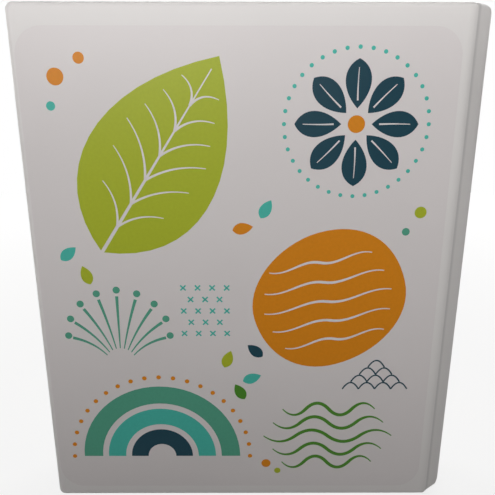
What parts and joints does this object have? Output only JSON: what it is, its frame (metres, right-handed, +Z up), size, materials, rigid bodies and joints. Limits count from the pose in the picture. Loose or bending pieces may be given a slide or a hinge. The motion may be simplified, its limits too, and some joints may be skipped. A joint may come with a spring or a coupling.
{
  "type": "weekly pill organizer",
  "caption": "Book-like upright case with a folding cover and spine, holding a rack of pull-out day strips with dose pockets under clear sliding lids.",
  "frame": {"origin": "centre of the bounding box's bottom face, on the surface that the case stands on", "axes": "+Z up along the case's height, +Y from the printed front cover to the back, +X from the fore-edge to the spine"},
  "size_m": [0.1376, 0.025, 0.161],
  "materials": {
    "case_white": "moulded polypropylene, satin gloss",
    "print_film": "printed in-mould film, satin",
    "rack_grey": "moulded polypropylene, fine matt",
    "strip_white": "moulded polypropylene, satin",
    "lid_clear": "clear moulded polystyrene, polished"
  },
  "bodies": {
    "base": {"back_cover": "case_white", "rack": "rack_grey", "rear_hinge_web": "case_white"},
    "spine": {"spine": "case_white", "front_hinge_web": "case_white"},
    "cover": {"front_cover": "case_white", "cover_film": "print_film"},
    "strip_1": {"day_strip_1": "strip_white"},
    "lid_1": {"strip_lid_1": "lid_clear"},
    "strip_2": {"day_strip_2": "strip_white"},
    "lid_2": {"strip_lid_2": "lid_clear"},
    "strip_3": {"day_strip_3": "strip_white"},
    "lid_3": {"strip_lid_3": "lid_clear"},
    "strip_4": {"day_strip_4": "strip_white"},
    "lid_4": {"strip_lid_4": "lid_clear"},
    "strip_5": {"day_strip_5": "strip_white"},
    "lid_5": {"strip_lid_5": "lid_clear"},
    "strip_6": {"day_strip_6": "strip_white"},
    "lid_6": {"strip_lid_6": "lid_clear"},
    "strip_7": {"day_strip_7": "strip_white"},
    "lid_7": {"strip_lid_7": "lid_clear"}
  },
  "joints": [
    {"name": "spine_hinge", "type": "hinge", "parent": "base", "child": "spine", "pos_m": [0.06205, 0.0109, 0.0805], "axis": [0, 0, 1], "range_deg": [0, 90]},
    {"name": "cover_hinge", "type": "hinge", "parent": "spine", "child": "cover", "pos_m": [0.06205, -0.0109, 0.0805], "axis": [0, 0, 1], "range_deg": [0, 90]},
    {"name": "strip_slide_1", "type": "slide", "parent": "base", "child": "strip_1", "axis": [-1, 0, 0], "range_m": [0, 0.1099]},
    {"name": "lid_slide_1", "type": "slide", "parent": "strip_1", "child": "lid_1", "axis": [-1, 0, 0], "range_m": [0, 0.1099]},
    {"name": "strip_slide_2", "type": "slide", "parent": "base", "child": "strip_2", "axis": [-1, 0, 0], "range_m": [0, 0.1099]},
    {"name": "lid_slide_2", "type": "slide", "parent": "strip_2", "child": "lid_2", "axis": [-1, 0, 0], "range_m": [0, 0.1099]},
    {"name": "strip_slide_3", "type": "slide", "parent": "base", "child": "strip_3", "axis": [-1, 0, 0], "range_m": [0, 0.1099]},
    {"name": "lid_slide_3", "type": "slide", "parent": "strip_3", "child": "lid_3", "axis": [-1, 0, 0], "range_m": [0, 0.1099]},
    {"name": "strip_slide_4", "type": "slide", "parent": "base", "child": "strip_4", "axis": [-1, 0, 0], "range_m": [0, 0.1099]},
    {"name": "lid_slide_4", "type": "slide", "parent": "strip_4", "child": "lid_4", "axis": [-1, 0, 0], "range_m": [0, 0.1099]},
    {"name": "strip_slide_5", "type": "slide", "parent": "base", "child": "strip_5", "axis": [-1, 0, 0], "range_m": [0, 0.1099]},
    {"name": "lid_slide_5", "type": "slide", "parent": "strip_5", "child": "lid_5", "axis": [-1, 0, 0], "range_m": [0, 0.1099]},
    {"name": "strip_slide_6", "type": "slide", "parent": "base", "child": "strip_6", "axis": [-1, 0, 0], "range_m": [0, 0.1099]},
    {"name": "lid_slide_6", "type": "slide", "parent": "strip_6", "child": "lid_6", "axis": [-1, 0, 0], "range_m": [0, 0.1099]},
    {"name": "strip_slide_7", "type": "slide", "parent": "base", "child": "strip_7", "axis": [-1, 0, 0], "range_m": [0, 0.1099]},
    {"name": "lid_slide_7", "type": "slide", "parent": "strip_7", "child": "lid_7", "axis": [-1, 0, 0], "range_m": [0, 0.1099]}
  ]
}
